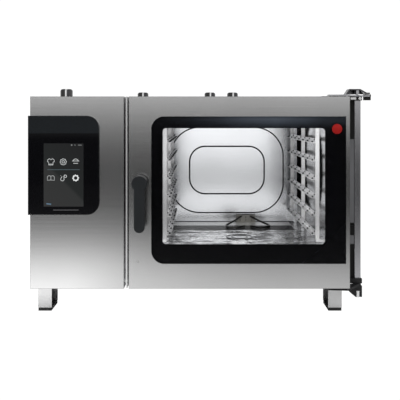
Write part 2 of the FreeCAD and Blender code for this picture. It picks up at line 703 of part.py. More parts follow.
def striker_and_gasket():
    """Latch striker and chamber seal, both fixed to the cabinet's front frame."""
    x, z = D["door_left"], D["knob_height"]
    plate("door_striker", "xz", D["door_rear"] - 20, D["case_front"], rect(x + 4, z - 12, x + 12, z + 12))
    seal_left, seal_right = D["suction_face"] + 2, D["cav_right"] + 4
    plate("door_gasket", "xz", D["door_rear"] + 0.3, D["case_front"],
          rect(seal_left - 12, D["cav_low"] - 14, seal_right + 10, D["cav_high"] + 12, 20),
          rect(seal_left, D["cav_low"] - 2, seal_right, D["cav_high"], 10))


# ---------------------------------------------------------------- swing post

def swing():
    """Post with two arms: it turns on pins at top and bottom and carries the door's guide shoes."""
    px, py, r = D["pivot_across"], D["pivot_along"], D["pivot_radius"]
    half_w, half_d = D["post_width"] / 2, D["post_depth"] / 2
    top, low = D["body_top"] + 2.5, D["body_bottom"] - 3
    arm, lower_arm = D["arm_thick"], D["lower_arm_thick"]
    post = plate("swing_post", "xy", low, top, rect(px - half_w, py - half_d, px + half_w, py + half_d, 3))
    for z0, z1 in ((low, low + 30), (top - 30, top)):
        cut(post, "xy", z0, z1, circle(px, py, r + 3))
    shoe_right = D["shoe_left"] + D["shoe_length"]
    shoe_half = D["slot_width"] / 2 - 0.5
    tip_front, tip_back = D["rail_middle"] - 14, D["rail_middle"] + 14
    outline = poly((D["shoe_left"], tip_front), (shoe_right + 14, tip_front - 8), (px + half_w, py - half_d),
                   (px + half_w, py + half_d + 6), (px - half_w, py + half_d + 6),
                   (px - half_w - 4, py - half_d - 7), (D["shoe_left"], tip_back))
    upper = plate("swing_arm_top", "xy", top, top + arm, outline, circle(px, py, r + 3))
    # short tail that carries the buffer
    extrude(upper, "xy", top, top + arm, rect(px + half_w - 1, py - half_d, 605, py + half_d))
    plate("swing_arm_bottom", "xy", low - lower_arm, low, outline, circle(px, py, r + 3))
    shoe = rect(D["shoe_left"], D["rail_middle"] - shoe_half, shoe_right, D["rail_middle"] + shoe_half, 3)
    joined("guide_shoes",
           plate("upper_shoe", "xy", D["body_top"] - 14, top, shoe, own_node=False),
           plate("lower_shoe", "xy", low, D["body_bottom"] + 14, shoe, own_node=False))
    block = plate("swing_buffer", "xy", top - 13, top, rect(584, py - half_d, 608, py + half_d, 2))
    extrude(block, "xy", top - 1, top + arm + 3, rect(608 - 3, py - half_d, 608, py + half_d))
    extrude(block, "xy", top + arm, top + arm + 3, rect(584, py - half_d, 608, py + half_d, 2))
    bushes = []
    for z0, z1 in ((low - lower_arm, low + 30), (top - 30, top + arm)):
        bushes.append(combine("Cut", "bush_ring", rod("bush_out", (px, py, z0), "z", r + 3, z1 - z0),
                              rod("bush_in", (px, py, z0 - 1), "z", r + 0.05, z1 - z0 + 2)))
    joined("pivot_bushes", *bushes)
    # dark castings round the post's ends; the lower one hangs below the arm with one corner cut off
    around_post = rect(px - half_w, py - half_d, px + half_w, py + half_d)
    casting = rect(px - 32, py - 17, px + 14, py + 12)
    lower = plate("lower_boot", "xy", low - lower_arm - 5, low - lower_arm, casting, circle(px, py, r + 3),
                  own_node=False)
    extrude(lower, "xz", py - 17, py - 13,
            poly((px - 10, 65), (px + 14, 65), (px + 14, low - lower_arm), (px - 32, low - lower_arm),
                 (px - 32, 84)))
    extrude(lower, "yz", px + 10, px + 14, rect(py - 17, 65, py - 8, low - lower_arm))
    joined("swing_castings", lower,
           plate("upper_boot", "xy", low, low + 17, casting, around_post, own_node=False),
           plate("head", "xy", top - 14, top, casting, around_post, own_node=False))
    bolts = []
    bolts.append(box("head_plate", (px - 28, py - 17 - 3, top - 11), (px - 8, py - 17, top - 3)))
    bolts.append(hexagon("head_bolt", px + 6, py - 17 - 4, top - 7, 6, 4))
    # upright barrel of the door stop, on a flat pad in front of the lower casting
    bolts.append(combine("MultiFuse", "stop_barrel",
                         box("barrel_pad", (px - 7, py - 19, 67), (px + 3, py - 17, 88)),
                         rod("barrel", (px - 2, py - 22, 66), "z", 4.8, 23)))
    joined("swing_bolts", *bolts)
    # black channel that closes the gap between door and post, with the slide lock in it
    channel = plate("slide_lock_channel", "xy", low + 17, top - 14,
                    poly((528, py - 4), (px - half_w, py - 4), (px - half_w, py + 4), (528, py + 4)))
    extrude(channel, "xz", py - half_d, py - 3, rect(530, 635, px - half_w - 1, 732, 2),
            rect(530, 288, px - half_w - 1, 322, 2), rect(530, 238, px - half_w - 1, 252, 2))


def hexagon(name, x, y, z, radius, length):
    """A hex bolt head whose axis lies along Y."""
    made = primitive("Prism", name, (x, y, z), TURN["y"], Circumradius=radius, Height=length)
    made.Polygon = 6
    return made


def fixed_hinges():
    """Brackets on the casing that hold the two pivot pins."""
    px, py, r = D["pivot_across"], D["pivot_along"], D["pivot_radius"]
    y0, y1 = D["case_front"] + 2, D["case_front"] + 42
    under, over = D["body_top"] + 26, D["body_top"] + 30
    top = D["body_top"]
    hump = plate("hinge_bracket_top", "xz", y0, y1,
                 poly((430, top), (514, top), (532, under), (567, under), (590, top + 12), (604, top + 12),
                      (604, top + 17), (592, top + 17), (569, over), (529, over), (512, top + 4), (430, top + 4)))
    # web along the back of the hump
    extrude(hump, "xz", y1 - 4, y1, poly((514, top), (526, top), (526, top + 12), (592, top + 12),
                                         (567, under + 1), (532, under + 1)))
    cut(hump, "xy", under, over, circle(px, py, r))
    shelf = plate("hinge_bracket_bottom", "xy", D["body_bottom"] - 26, D["body_bottom"] - 18,
                  rect(440, py - 7, px + 6.5, py + 31), circle(px, py, r))
    extrude(shelf, "xy", D["body_bottom"] - 19, D["body_bottom"], rect(440, py + 11, 460, py + 31),
            rect(496, py + 11, 516, py + 31))
    nut = primitive("Prism", "pin_nut", (px, py, top + 11), Circumradius=9, Height=under - top - 11)
    nut.Polygon = 6
    upper_pin = combine("MultiFuse", "upper_pin_solid", nut,
                        rod("pin_top", (px, py, top - 20), "z", r, over - top + 20))
    lower_pin = rod("pin_bottom", (px, py, D["body_bottom"] - 30), "z", r, 50)
    joined("pivot_pins", upper_pin, lower_pin)


# ---------------------------------------------------------------- electrics

def electrics():
    """Power parts fixed to the inside of the left side panel."""
    x0 = D["body_left"] + S
    joined("power_electronics",
           plate("power_module", "yz", x0, x0 + 60, rect(-200, 380, -40, 640, 4), own_node=False),
           plate("contactor_block", "yz", x0, x0 + 45, rect(0, 420, 140, 520, 3), own_node=False),
           plate("cooling_fan", "yz", x0, x0 + 38, rect(200, 560, 320, 680, 8), own_node=False))


casing()
front_frame()
control_front()
feet()
vents()
chamber()
insulation()
suction_panel()
heating()
fan()
steam_and_water()
drain()
floor_bracket()
racks()
door()
latch()
striker_and_gasket()
swing()
fixed_hinges()
electrics()
doc.recompute()

for thing in doc.Objects:
    if "Invalid" in thing.State or "Error" in thing.State:
        raise RuntimeError(f"{thing.Label} did not compute: {thing.State}")
for made in NODES:
    if made.Shape.isNull() or not made.Shape.isValid():
        raise RuntimeError(f"{made.Label} has no valid shape")
for made in NODES:
    made.Shape.exportStep(f"parts/{made.Label}.step")
print(len(NODES), "nodes written")
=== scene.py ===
import json
import math

import bmesh
import bpy
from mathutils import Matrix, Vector


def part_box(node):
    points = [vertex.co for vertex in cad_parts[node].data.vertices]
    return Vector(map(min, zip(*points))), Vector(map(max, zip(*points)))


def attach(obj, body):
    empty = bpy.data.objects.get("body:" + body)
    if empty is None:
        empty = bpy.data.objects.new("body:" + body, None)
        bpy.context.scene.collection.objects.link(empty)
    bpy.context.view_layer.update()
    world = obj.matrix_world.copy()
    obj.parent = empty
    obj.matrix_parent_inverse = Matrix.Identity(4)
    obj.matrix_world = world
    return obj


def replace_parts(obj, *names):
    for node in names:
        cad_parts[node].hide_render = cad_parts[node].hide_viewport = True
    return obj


# Looks of the combi steamer oven. Metres, +Z up, the front faces -Y.

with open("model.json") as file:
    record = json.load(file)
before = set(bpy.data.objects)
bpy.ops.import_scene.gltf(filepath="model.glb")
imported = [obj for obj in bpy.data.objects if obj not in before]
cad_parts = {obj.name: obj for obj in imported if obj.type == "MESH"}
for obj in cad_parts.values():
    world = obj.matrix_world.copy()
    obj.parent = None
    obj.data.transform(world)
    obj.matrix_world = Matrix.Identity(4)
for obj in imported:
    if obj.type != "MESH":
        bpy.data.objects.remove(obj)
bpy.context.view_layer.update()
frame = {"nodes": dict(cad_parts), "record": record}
nodes = frame["nodes"]

MM = 0.001

# noise scales per axis that draw fine lines along one axis
ALONG_X = (3, 900, 900)
ALONG_Y = (900, 3, 900)
ALONG_Z = (900, 900, 3)

# how far the clear window lies inside the black print's box: left, bottom, right, top
WINDOW_INSETS = (39.5 * MM, 68.5 * MM, 73.5 * MM, 41 * MM)


def window_edges():
    """Left, bottom, right and top of the clear window in the door's outer pane."""
    low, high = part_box("door_glass_border")
    left, bottom, right, top = WINDOW_INSETS
    return low.x + left, low.z + bottom, high.x - right, high.z - top


# ------------------------------------------------------------------ node helpers

class Nodes:
    """Builds one material's node tree; the methods that compute something return its socket."""

    def __init__(self, name):
        self.material = bpy.data.materials.new(name)
        self.material.use_nodes = True
        self.tree = self.material.node_tree
        self.tree.nodes.clear()
        self.out = self.tree.nodes.new("ShaderNodeOutputMaterial")
        self.place = self.tree.nodes.new("ShaderNodeTexCoord").outputs["Object"]

    def node(self, kind, **settings):
        made = self.tree.nodes.new("ShaderNode" + kind)
        for key, value in settings.items():
            setattr(made, key, value)
        return made

    def feed(self, socket, value):
        """Links a socket into an input, or sets the input's own value."""
        if isinstance(value, bpy.types.NodeSocket):
            self.tree.links.new(value, socket)
        else:
            socket.default_value = value

    def set(self, made, **inputs):
        for key, value in inputs.items():
            self.feed(made.inputs[key.replace("_", " ")], value)
        return made

    def calculate(self, operation, *values, **settings):
        made = self.node("Math", operation=operation, **settings)
        for socket, value in zip(made.inputs, values):
            self.feed(socket, value)
        return made.outputs[0]

    def mean(self, a, b):
        halves = [self.calculate("MULTIPLY", value, 0.5) for value in (a, b)]
        return self.calculate("ADD", *halves, use_clamp=True)

    def stretched(self, scale):
        """The row frame's coordinates, scaled per axis."""
        mapping = self.set(self.node("Mapping"), Scale=scale, Vector=self.place)
        return mapping.outputs["Vector"]

    def axis(self, name, vector=None):
        """One coordinate of the row frame, or of a vector that is given."""
        split = self.node("SeparateXYZ")
        self.feed(split.inputs[0], self.place if vector is None else vector)
        return split.outputs[name]

    def noise(self, vector, scale, detail=3.0, rough=0.5):
        made = self.node("TexNoise")
        self.set(made, Vector=vector, Scale=scale, Detail=detail, Roughness=rough)
        return made.outputs["Fac"]

    def ramp(self, value, stops):
        made = self.node("ValToRGB")
        while len(made.color_ramp.elements) < len(stops):
            made.color_ramp.elements.new(0.5)
        for element, (position, colour) in zip(made.color_ramp.elements, stops):
            element.position = position
            element.color = (*colour, 1)
        self.feed(made.inputs["Fac"], value)
        return made.outputs["Color"]

    def spread(self, value, low, high):
        """Maps 0..1 to low..high."""
        made = self.set(self.node("MapRange"), Value=value, To_Min=low, To_Max=high)
        return made.outputs["Result"]

    def share(self, value, low, high):
        """Maps low..high to 0..1."""
        made = self.set(self.node("MapRange"), Value=value, From_Min=low, From_Max=high)
        return made.outputs["Result"]

    def bands(self, axis, low, high, stops, tint=(1, 1, 1)):
        """Tones of a tint along an axis from low to high; a stop is (place, tone)."""
        tones = [((at - low) / (high - low), [part * tone for part in tint]) for at, tone in stops]
        return self.ramp(self.share(self.axis(axis), low, high), tones)

    def bump(self, height, strength, distance):
        made = self.node("Bump")
        self.set(made, Height=height, Strength=strength, Distance=distance)
        return made.outputs["Normal"]

    def surface(self, shader):
        self.tree.links.new(shader.outputs[0], self.out.inputs["Surface"])
        return self.material

    def finish(self, **inputs):
        return self.surface(self.set(self.node("BsdfPrincipled"), **inputs))


def grey(level):
    return (level, level, level)


def scaled(tint, factor):
    return [part * factor for part in tint]


# ------------------------------------------------------------------ materials

def steel(name, tint, rough, grain, depth=0.25, mottle=0.04, metal=1.0):
    """Ground stainless: long fine scratches along one axis and a faint unevenness of tone."""
    build = Nodes(name)
    lines = build.noise(build.stretched(grain), 1.0, 6, 0.6)
    clouds = build.noise(build.place, 6.0, 2)
    dark = scaled(tint, 1 - mottle)
    light = [min(1, part) for part in scaled(tint, 1 + mottle)]
    colour = build.ramp(build.mean(lines, clouds), [(0.3, dark), (0.7, light)])
    return build.finish(Base_Color=colour, Metallic=metal,
                        Roughness=build.spread(lines, rough * 0.8, rough * 1.25),
                        Normal=build.bump(lines, depth, 0.2 * MM))


def banded(name, tint, rough, axis, low, high, stops):
    """Polished sheet whose tone changes in soft bands along one axis."""
    build = Nodes(name)
    lines = build.noise(build.stretched(ALONG_Z), 1.0, 6, 0.6)
    return build.finish(Base_Color=build.bands(axis, low, high, stops, tint), Metallic=1.0,
                        Roughness=build.spread(lines, rough * 0.8, rough * 1.2))


def wavy_floor(name):
    """Polished floor sheet, buckled by heat, so that what it mirrors is drawn out into streaks; its
    colour also holds painted reflections, dark and bright streaks along the same waves.
    """
    build = Nodes(name)
    swell = build.noise(build.stretched((5, 11, 5)), 1.0, 4, 0.55)
    fine = build.noise(build.stretched((60, 14, 30)), 1.0, 2)
    # painted reflections: dark and bright streaks in the base colour
    colour = build.ramp(swell, [(0.34, grey(0.05)), (0.4, (0.6, 0.6, 0.61)), (0.45, grey(1)),
                                (0.53, grey(1)), (0.548, grey(0.08)), (0.565, grey(0.9)),
                                (0.64, grey(1)), (0.68, grey(0.12))])
    return build.finish(Base_Color=colour, Metallic=1.0,
                        Roughness=build.spread(fine, 0.03, 0.06),
                        Normal=build.bump(swell, 0.9, 30 * MM))


def moulded(name, tint, rough, level=0.5):
    """Moulded plastic or rubber with a fine spark-eroded grain."""
    build = Nodes(name)
    fine = build.noise(build.place, 900.0, 2)
    broad = build.noise(build.place, 9.0, 2)
    colour = build.ramp(broad, [(0.3, scaled(tint, 0.85)), (0.7, scaled(tint, 1.15))])
    return build.finish(Base_Color=colour,
                        Roughness=build.spread(broad, rough * 0.85, rough * 1.15),
                        Specular_IOR_Level=level, Normal=build.bump(fine, 0.15, 0.1 * MM))


def dusty(build, rough):
    """The roughness of a smooth pane with the faintest film of dust."""
    film = build.noise(build.place, 5.0, 3)
    return build.spread(film, rough * 0.8, rough * 1.2)


def gloss_black(name, tint, rough):
    """Black glass, deep and smooth."""
    build = Nodes(name)
    return build.finish(Base_Color=(*tint, 1), Roughness=dusty(build, rough),
                        Specular_IOR_Level=0.5)


def sheen_black(name, dark, light, rough, level, runs):
    """Black glass or enamel with a paler painted sheen, a painted reflection; each run is (axis,
    low, high, stops).
    """
    build = Nodes(name)
    painted_sheen = None
    for run in runs:
        tone = build.bands(*run)
        painted_sheen = tone if painted_sheen is None else build.calculate("MULTIPLY", painted_sheen, tone)
    return build.finish(Base_Color=build.ramp(painted_sheen, [(0.0, dark), (1.0, light)]),
                        Roughness=dusty(build, rough), Specular_IOR_Level=level)


def clear_glass(name, strength, window=()):
    """A clear pane: what is behind shows through, with a mirror share that grows edge on.

    A pane with black print behind it mirrors only in its window, given as (axis, low, high)
    twice; the print makes its own mirror image, which renders with much less noise.
    """
    build = Nodes(name)
    smear = build.noise(build.place, 7.0, 2)
    clear = build.ramp(smear, [(0.3, grey(0.99)), (0.7, grey(1))])
    through = build.set(build.node("BsdfTransparent"), Color=clear)
    shine = build.set(build.node("BsdfGlossy"), Roughness=0.02, Color=(*grey(strength), 1))
    # mirror share by Schlick's rule, the same on both faces: 4 % head on, all of it edge on
    facing = build.set(build.node("LayerWeight"), Blend=0.5).outputs["Facing"]
    mirror = build.spread(build.calculate("POWER", facing, 5), 0.04, 1)
    for axis, low, high in window:
        inside = build.calculate("COMPARE", build.axis(axis), (low + high) / 2, (high - low) / 2)
        mirror = build.calculate("MULTIPLY", mirror, inside)
    mix = build.node("MixShader")
    for socket, value in zip(mix.inputs, (mirror, through.outputs[0], shine.outputs[0])):
        build.feed(socket, value)
    return build.surface(mix)


def glowing(name, tint):
    """A lit mark on the display."""
    build = Nodes(name)
    speck = build.noise(build.place, 400.0, 1)
    colour = build.ramp(speck, [(0.2, scaled(tint, 0.9)), (0.8, tint)])
    return build.finish(Base_Color=(*grey(0.02), 1), Emission_Color=colour,
                        Emission_Strength=1.0, Roughness=0.4)


def wool_material():
    build = Nodes("mineral_wool")
    fibres = build.noise(build.stretched((60, 60, 400)), 1.0, 6, 0.7)
    colour = build.ramp(fibres, [(0.3, (0.45, 0.38, 0.18)), (0.7, (0.75, 0.68, 0.42))])
    return build.finish(Base_Color=colour, Roughness=1.0,
                        Normal=build.bump(fibres, 0.8, 2 * MM))


def heater_material():
    """Steel tube discoloured by heat in slow bands."""
    build = Nodes("heater_tube")
    tarnish = build.noise(build.place, 14.0, 3)
    colour = build.ramp(tarnish, [(0.3, (0.16, 0.13, 0.12)), (0.5, (0.28, 0.22, 0.16)),
                                  (0.7, (0.2, 0.2, 0.24))])
    return build.finish(Base_Color=colour, Metallic=1.0,
                        Roughness=build.spread(tarnish, 0.3, 0.5))


def control_glass_material():
    """Black glass that turns paler above a sharp line near its top: a painted reflection."""
    height = ("Z", 0.6, 0.72, [(0.6, 0), (0.657, 0), (0.659, 1), (0.72, 0.8)])
    return sheen_black("control_glass", (0.0022, 0.0022, 0.0028), (0.0065, 0.008, 0.0095),
                       0.05, 0.4, [height])


def print_material():
    """The door's black enamel print, with a painted reflection: a soft bluish sheen along its top
    edge.
    """
    height = ("Z", 0.65, 0.72, [(0.65, 0), (0.675, 0.05), (0.69, 0.5), (0.708, 1), (0.715, 0.6),
                                (0.72, 0.5)])
    across = ("X", -0.2, 0.5, [(-0.2, 0.0), (-0.05, 0.1), (0.05, 0.35), (0.16, 0.8),
                               (0.25, 1.0), (0.33, 0.7), (0.42, 0.3), (0.5, 0.2)])
    return sheen_black("black_enamel", (0.002, 0.002, 0.0025), (0.048, 0.057, 0.072),
                       0.12, 0.08, [height, across])


def outer_glass_material():
    left, bottom, right, top = window_edges()
    return clear_glass("clear_glass", 0.16, (("X", left, right), ("Z", bottom, top)))


M = {
    "front_steel": steel("front_steel", grey(0.62), 0.2, ALONG_X),
    "casing_steel": steel("casing_steel", (0.60, 0.61, 0.62), 0.3, ALONG_X),
    "rear_steel": steel("rear_steel", (0.52, 0.53, 0.54), 0.42, ALONG_X),
    "chamber_steel": steel("chamber_steel", (0.86, 0.865, 0.87), 0.05, ALONG_Z,
                           depth=0.02, mottle=0.02),
    "trim_steel": steel("trim_steel", grey(0.8), 0.35, ALONG_Z),
    "foot_steel": steel("foot_steel", grey(0.62), 0.32, ALONG_Z),
    "vent_steel": steel("vent_steel", grey(0.68), 0.3, ALONG_Z),
    "rack_steel": steel("rack_steel", (0.82, 0.82, 0.83), 0.35, ALONG_Y,
                        depth=0.1, mottle=0.03, metal=0.3),
    "post_steel": steel("post_steel", (0.50, 0.50, 0.52), 0.24, ALONG_Z),
    "shaft_steel": steel("shaft_steel", (0.55, 0.55, 0.57), 0.3, ALONG_X),
    "bolt_chrome": steel("bolt_chrome", grey(0.85), 0.15, ALONG_Z, depth=0.05),
    "motor_alloy": steel("motor_alloy", grey(0.5), 0.5, ALONG_X, depth=0.1),
    "brass_fitting": steel("brass_fitting", (0.72, 0.55, 0.26), 0.3, ALONG_Y, depth=0.1),
    "control_glass": control_glass_material(),
    "black_enamel": print_material(),
    "clear_glass": outer_glass_material(),
    "inner_glass": clear_glass("inner_glass", 0.12),
    "display": gloss_black("display", (0.01, 0.012, 0.015), 0.2),
    "circuit_board": moulded("circuit_board", (0.02, 0.14, 0.06), 0.4),
    "circuit_case": moulded("circuit_case", (0.12, 0.12, 0.13), 0.6),
    "foot_rubber": moulded("foot_rubber", grey(0.015), 0.7),
    "gasket_rubber": moulded("gasket_rubber", grey(0.03), 0.6),
    "buffer_rubber": moulded("buffer_rubber", grey(0.004), 0.5, level=0.2),
    "black_plastic": moulded("black_plastic", grey(0.003), 0.5, level=0.2),
    "drain_plastic": moulded("drain_plastic", (0.15, 0.16, 0.17), 0.6),
    "handle_plastic": moulded("handle_plastic", (0.0055, 0.007, 0.0085), 0.42, level=0.3),
    "nylon": moulded("nylon", (0.7, 0.7, 0.66), 0.5),
    "dark_coat": moulded("dark_coat", (0.035, 0.037, 0.04), 0.45),
    "wool": wool_material(),
    "heater": heater_material(),
}

# nodes whose look differs from that of their material slot
own_look = {
    # the right wall's dark and pale bands along Y are painted reflections
    "cavity_right_wall": banded("right_wall_painted_reflections", (0.88, 0.88, 0.89), 0.2, "Y", -0.35, 0.43, [
        (-0.35, 0.7), (-0.2, 0.5), (0.09, 0.55), (0.105, 0.01), (0.16, 0.01), (0.175, 0.8),
        (0.23, 0.85), (0.245, 0.004), (0.355, 0.004), (0.37, 0.6), (0.43, 0.3)]),
    "suction_panel": steel("suction_steel", (0.62, 0.62, 0.63), 0.35, ALONG_Z,
                           depth=0.05, mottle=0.03),
    "hinge_bracket_top": steel("bracket_chrome", (0.10, 0.10, 0.105), 0.25, ALONG_Y, depth=0.2),
    "swing_arm_bottom": moulded("arm_coat", (0.012, 0.012, 0.013), 0.6, level=0.1),
    "floor_bracket": banded("bracket_steel", (0.28, 0.275, 0.25), 0.3, "Y", 0.2, 0.45, [
        (0.2, 0.2), (0.39, 0.2), (0.399, 1.0), (0.45, 1.0)]),
    # the left rack gets a darker copy of the rack steel: painted shade that tones down the light
    # falling on it
    "rack_left": steel("rack_left_painted_shade", (0.55, 0.55, 0.56), 0.35, ALONG_Y,
                       depth=0.1, mottle=0.03, metal=0.3),
    "swing_castings": moulded("casting_coat", (0.009, 0.009, 0.0095), 0.5, level=0.3),
    "cavity_floor": wavy_floor("floor_steel_painted_streaks"),
    "cavity_back_wall": steel("back_wall_steel", (0.86, 0.875, 0.90), 0.2, ALONG_X,
                              depth=0.02, mottle=0.02),
}

slot_of = {item["node"]: item["material_slot"] for item in frame["record"]["subparts"]}
for name, thing in nodes.items():
    thing.data.materials.clear()
    thing.data.materials.append(own_look.get(name) or M[slot_of[name]])


# ------------------------------------------------------------------ mesh helpers

def add_piece(name, mesh, material, body, smooth):
    """Puts a mesh into the scene as a piece that rides on a CAD body."""
    mesh.materials.clear()
    mesh.materials.append(material)
    if smooth:
        mesh.shade_smooth()
    made = bpy.data.objects.new(name, mesh)
    bpy.context.scene.collection.objects.link(made)
    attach(made, body)
    return made


def place_mesh(name, bm, material, body, smooth=False):
    """Turns a bmesh into a piece."""
    bmesh.ops.recalc_face_normals(bm, faces=bm.faces)
    mesh = bpy.data.meshes.new(name)
    bm.to_mesh(mesh)
    bm.free()
    return add_piece(name, mesh, material, body, smooth)


def strokes(name, paths, radius, material, body):
    """Round wires along paths; a path is (points, closed)."""
    curve = bpy.data.curves.new(name, "CURVE")
    curve.dimensions = "3D"
    curve.bevel_depth = radius
    curve.bevel_resolution = 2
    curve.use_fill_caps = True
    for points, closed in paths:
        line = curve.splines.new("POLY")
        line.points.add(len(points) - 1)
        for point, where in zip(line.points, points):
            point.co = (*where, 1)
        line.use_cyclic_u = closed
    shaper = bpy.data.objects.new(name + "_shaper", curve)
    bpy.context.scene.collection.objects.link(shaper)
    bpy.context.view_layer.update()
    mesh = bpy.data.meshes.new_from_object(shaper)
    bpy.data.objects.remove(shaper)
    return add_piece(name, mesh, material, body, smooth=True)


def skirt(bm, near, far):
    """Joins two closed loops of vertices by a band of faces."""
    for n in range(len(near)):
        m = (n + 1) % len(near)
        bm.faces.new((near[n], near[m], far[m], far[n]))


def lathe(bm, profile, centre, axis, steps):
    """Adds a turned shape; its profile is a list of (radius, distance along the axis)."""
    turn = Vector((0, 0, 1)).rotation_difference(Vector(axis)).to_matrix()
    rings = []
    for radius, along in profile:
        ring = []
        for n in range(steps if radius > 0 else 1):
            angle = 2 * math.pi * n / steps
            spot = Vector((radius * math.cos(angle), radius * math.sin(angle), along))
            ring.append(bm.verts.new(Vector(centre) + turn @ spot))
        rings.append(ring)
    for near, far in zip(rings, rings[1:]):
        for n in range(steps):
            corners = [near[n % len(near)], near[(n + 1) % len(near)],
                       far[(n + 1) % len(far)], far[n % len(far)]]
            bm.faces.new(list(dict.fromkeys(corners)))


def turned(name, profile, centre, axis, material, body):
    """A piece turned on a lathe."""
    bm = bmesh.new()
    lathe(bm, profile, centre, axis, steps=48)
    return place_mesh(name, bm, material, body, smooth=True)


def arc(cx, cz, r, start, stop, steps=14):
    """Points on a circle from one angle to another, in degrees."""
    angles = [math.radians(start + (stop - start) * n / steps) for n in range(steps + 1)]
    return [(cx + r * math.cos(a), cz + r * math.sin(a)) for a in angles]


def round_rect(x0, y0, x1, y1, r, steps=10):
    """A rounded rectangle, anticlockwise from its low right corner; r is one radius or four."""
    radii = r if isinstance(r, (list, tuple)) else [r] * 4
    corners = ((x1, y0, -1, 1, -90), (x1, y1, -1, -1, 0), (x0, y1, 1, -1, 90), (x0, y0, 1, 1, 180))
    points = []
    for (x, y, inward_x, inward_y, start), radius in zip(corners, radii):
        points += arc(x + inward_x * radius, y + inward_y * radius, radius, start, start + 90, steps)
    return points


def slab(name, outline, near, far, material, body, edge=0.0):
    """A plate facing the front: outline in (x, z), y from near to far, front edge bevelled."""
    bm = bmesh.new()
    front = [bm.verts.new((x, near, z)) for x, z in outline]
    back = [bm.verts.new((x, far, z)) for x, z in outline]
    face = bm.faces.new(front)
    bm.faces.new(list(reversed(back)))
    skirt(bm, front, back)
    if edge:
        bmesh.ops.bevel(bm, geom=list(face.edges), offset=edge, segments=3, profile=0.6,
                        affect="EDGES")
    return place_mesh(name, bm, material, body)


# ------------------------------------------------------------------ chamber pieces

# the raised strip at the back of the chamber floor, measured from the chamber's walls
SILL_HIGH = 3 * MM
SILL_SIDE = 30 * MM
SILL_BACK = 4 * MM
SILL_FRONT = 104 * MM
SILL_SKIN = 0.3 * MM
DIP_FRONT = 208 * MM

# the pressed beads' outlines in the same coordinates as the CAD
BACK_MIDDLE = 119 * MM
BEAD_DEEP = 3 * MM
BEAD_LIFT = 0.2 * MM

RAIL_PITCH = 68 * MM
FIRST_RAIL = 20 * MM
RAILS = 7
FLANGE = 16 * MM
HOLE_DOTS = 7
HOLE_DOT_END = 6 * MM


def rack_hole_shades():
    """Dark dots along the rails of both racks, painted shade that stands in for the dark holes: one
    row on the ledge, one on the flange.
    """
    dark = moulded("hole_shade_black", grey(0.01), 0.5, level=0.2)
    rows = ((9 * MM, 2.5 * MM, 3.6 * MM), (1 * MM, 10 * MM, 3.2 * MM))
    for name, side in (("rack_left", 1), ("rack_right", -1)):
        low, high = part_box(name)
        back_of_flange = low.x + FLANGE if side > 0 else high.x - FLANGE
        spacing = (high.y - low.y - 2 * HOLE_DOT_END) / (HOLE_DOTS - 1)
        bm = bmesh.new()
        for rail in range(RAILS):
            base = low.z + FIRST_RAIL + rail * RAIL_PITCH
            for n in range(HOLE_DOTS):
                along = low.y + HOLE_DOT_END + n * spacing
                for across, lift, radius in rows:
                    spot = Vector((back_of_flange + side * across, along, base + lift))
                    made = bmesh.ops.create_icosphere(bm, subdivisions=2, radius=radius)
                    bmesh.ops.translate(bm, verts=made["verts"], vec=spot)
        place_mesh(name + "_hole_shades", bm, dark, name, smooth=True)


def strainer_rings():
    """Raised rings pressed into the drain strainer."""
    low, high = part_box("drain_strainer")
    cx, cy = (low.x + high.x) / 2, (low.y + high.y) / 2
    turns = [2 * math.pi * n / 40 for n in range(40)]
    rings = []
    for r in (54 * MM, 34 * MM):
        rings.append(([(cx + r * math.cos(a), cy + r * math.sin(a), high.z) for a in turns], True))
    ring_steel = steel("ring_steel", grey(0.04), 0.3, ALONG_X, depth=0.1)
    strokes("strainer_rings", rings, 1.8 * MM, ring_steel, "strainer")


def back_wall_folds(back, fold_shade):
    """Dark wires of painted shade where the two beads of the back wall are folded."""
    inner = ("inner_fold", 180 * MM, 345 * MM, 574 * MM, 75 * MM, 3.5 * MM)
    outer = ("outer_fold", 272 * MM, 254 * MM, 666 * MM, 140 * MM, 3.1 * MM)
    for name, half, low, high, corner, wire in (inner, outer):
        ring = round_rect(BACK_MIDDLE - half, low, BACK_MIDDLE + half, high, corner, 16)
        path = [(x, back - BEAD_LIFT, z) for x, z in ring]
        strokes(name, [(path, True)], wire, fold_shade, "cabinet")


def floor_sill(left, right, back, floor):
    """The satin top of the raised strip at the back of the floor."""
    side = SILL_SIDE - SILL_SKIN
    outline = round_rect(left + side, back - SILL_FRONT - SILL_SKIN,
                         right - side, back - SILL_BACK + SILL_SKIN, 1 * MM, 3)
    bm = bmesh.new()
    upper = [bm.verts.new((x, y, floor + SILL_HIGH + 0.2 * MM)) for x, y in outline]
    lower = [bm.verts.new((x, y, floor + SILL_SKIN)) for x, y in outline]
    bm.faces.new(upper)
    skirt(bm, lower, upper)
    satin = steel("sill_steel", (0.92, 0.92, 0.93), 0.3, ALONG_X, depth=0.1, mottle=0.03, metal=0.5)
    place_mesh("floor_sill", bm, satin, "cabinet")


def floor_dip(left, right, back, floor):
    """The slope where the floor runs down in front of the raised strip, darkened with painted shade.
    """
    far, near = back - SILL_FRONT, back - DIP_FRONT
    slope = ((far, SILL_HIGH + 0.2 * MM), (far - 2 * MM, SILL_HIGH), ((far + near) / 2, 1.2 * MM),
             (near, SILL_SKIN))
    ends = (left + SILL_SIDE, right - SILL_SIDE)
    bm = bmesh.new()
    rows = [[bm.verts.new((x, y, floor + lift)) for x in ends] for y, lift in slope]
    for back_row, fore_row in zip(rows, rows[1:]):
        bm.faces.new((back_row[0], back_row[1], fore_row[1], fore_row[0]))
    bmesh.ops.solidify(bm, geom=bm.faces[:], thickness=0.2 * MM)
    dark = steel("dip_painted_shade", (0.10, 0.10, 0.105), 0.2, ALONG_X, depth=0.1)
    place_mesh("floor_dip", bm, dark, "cabinet")


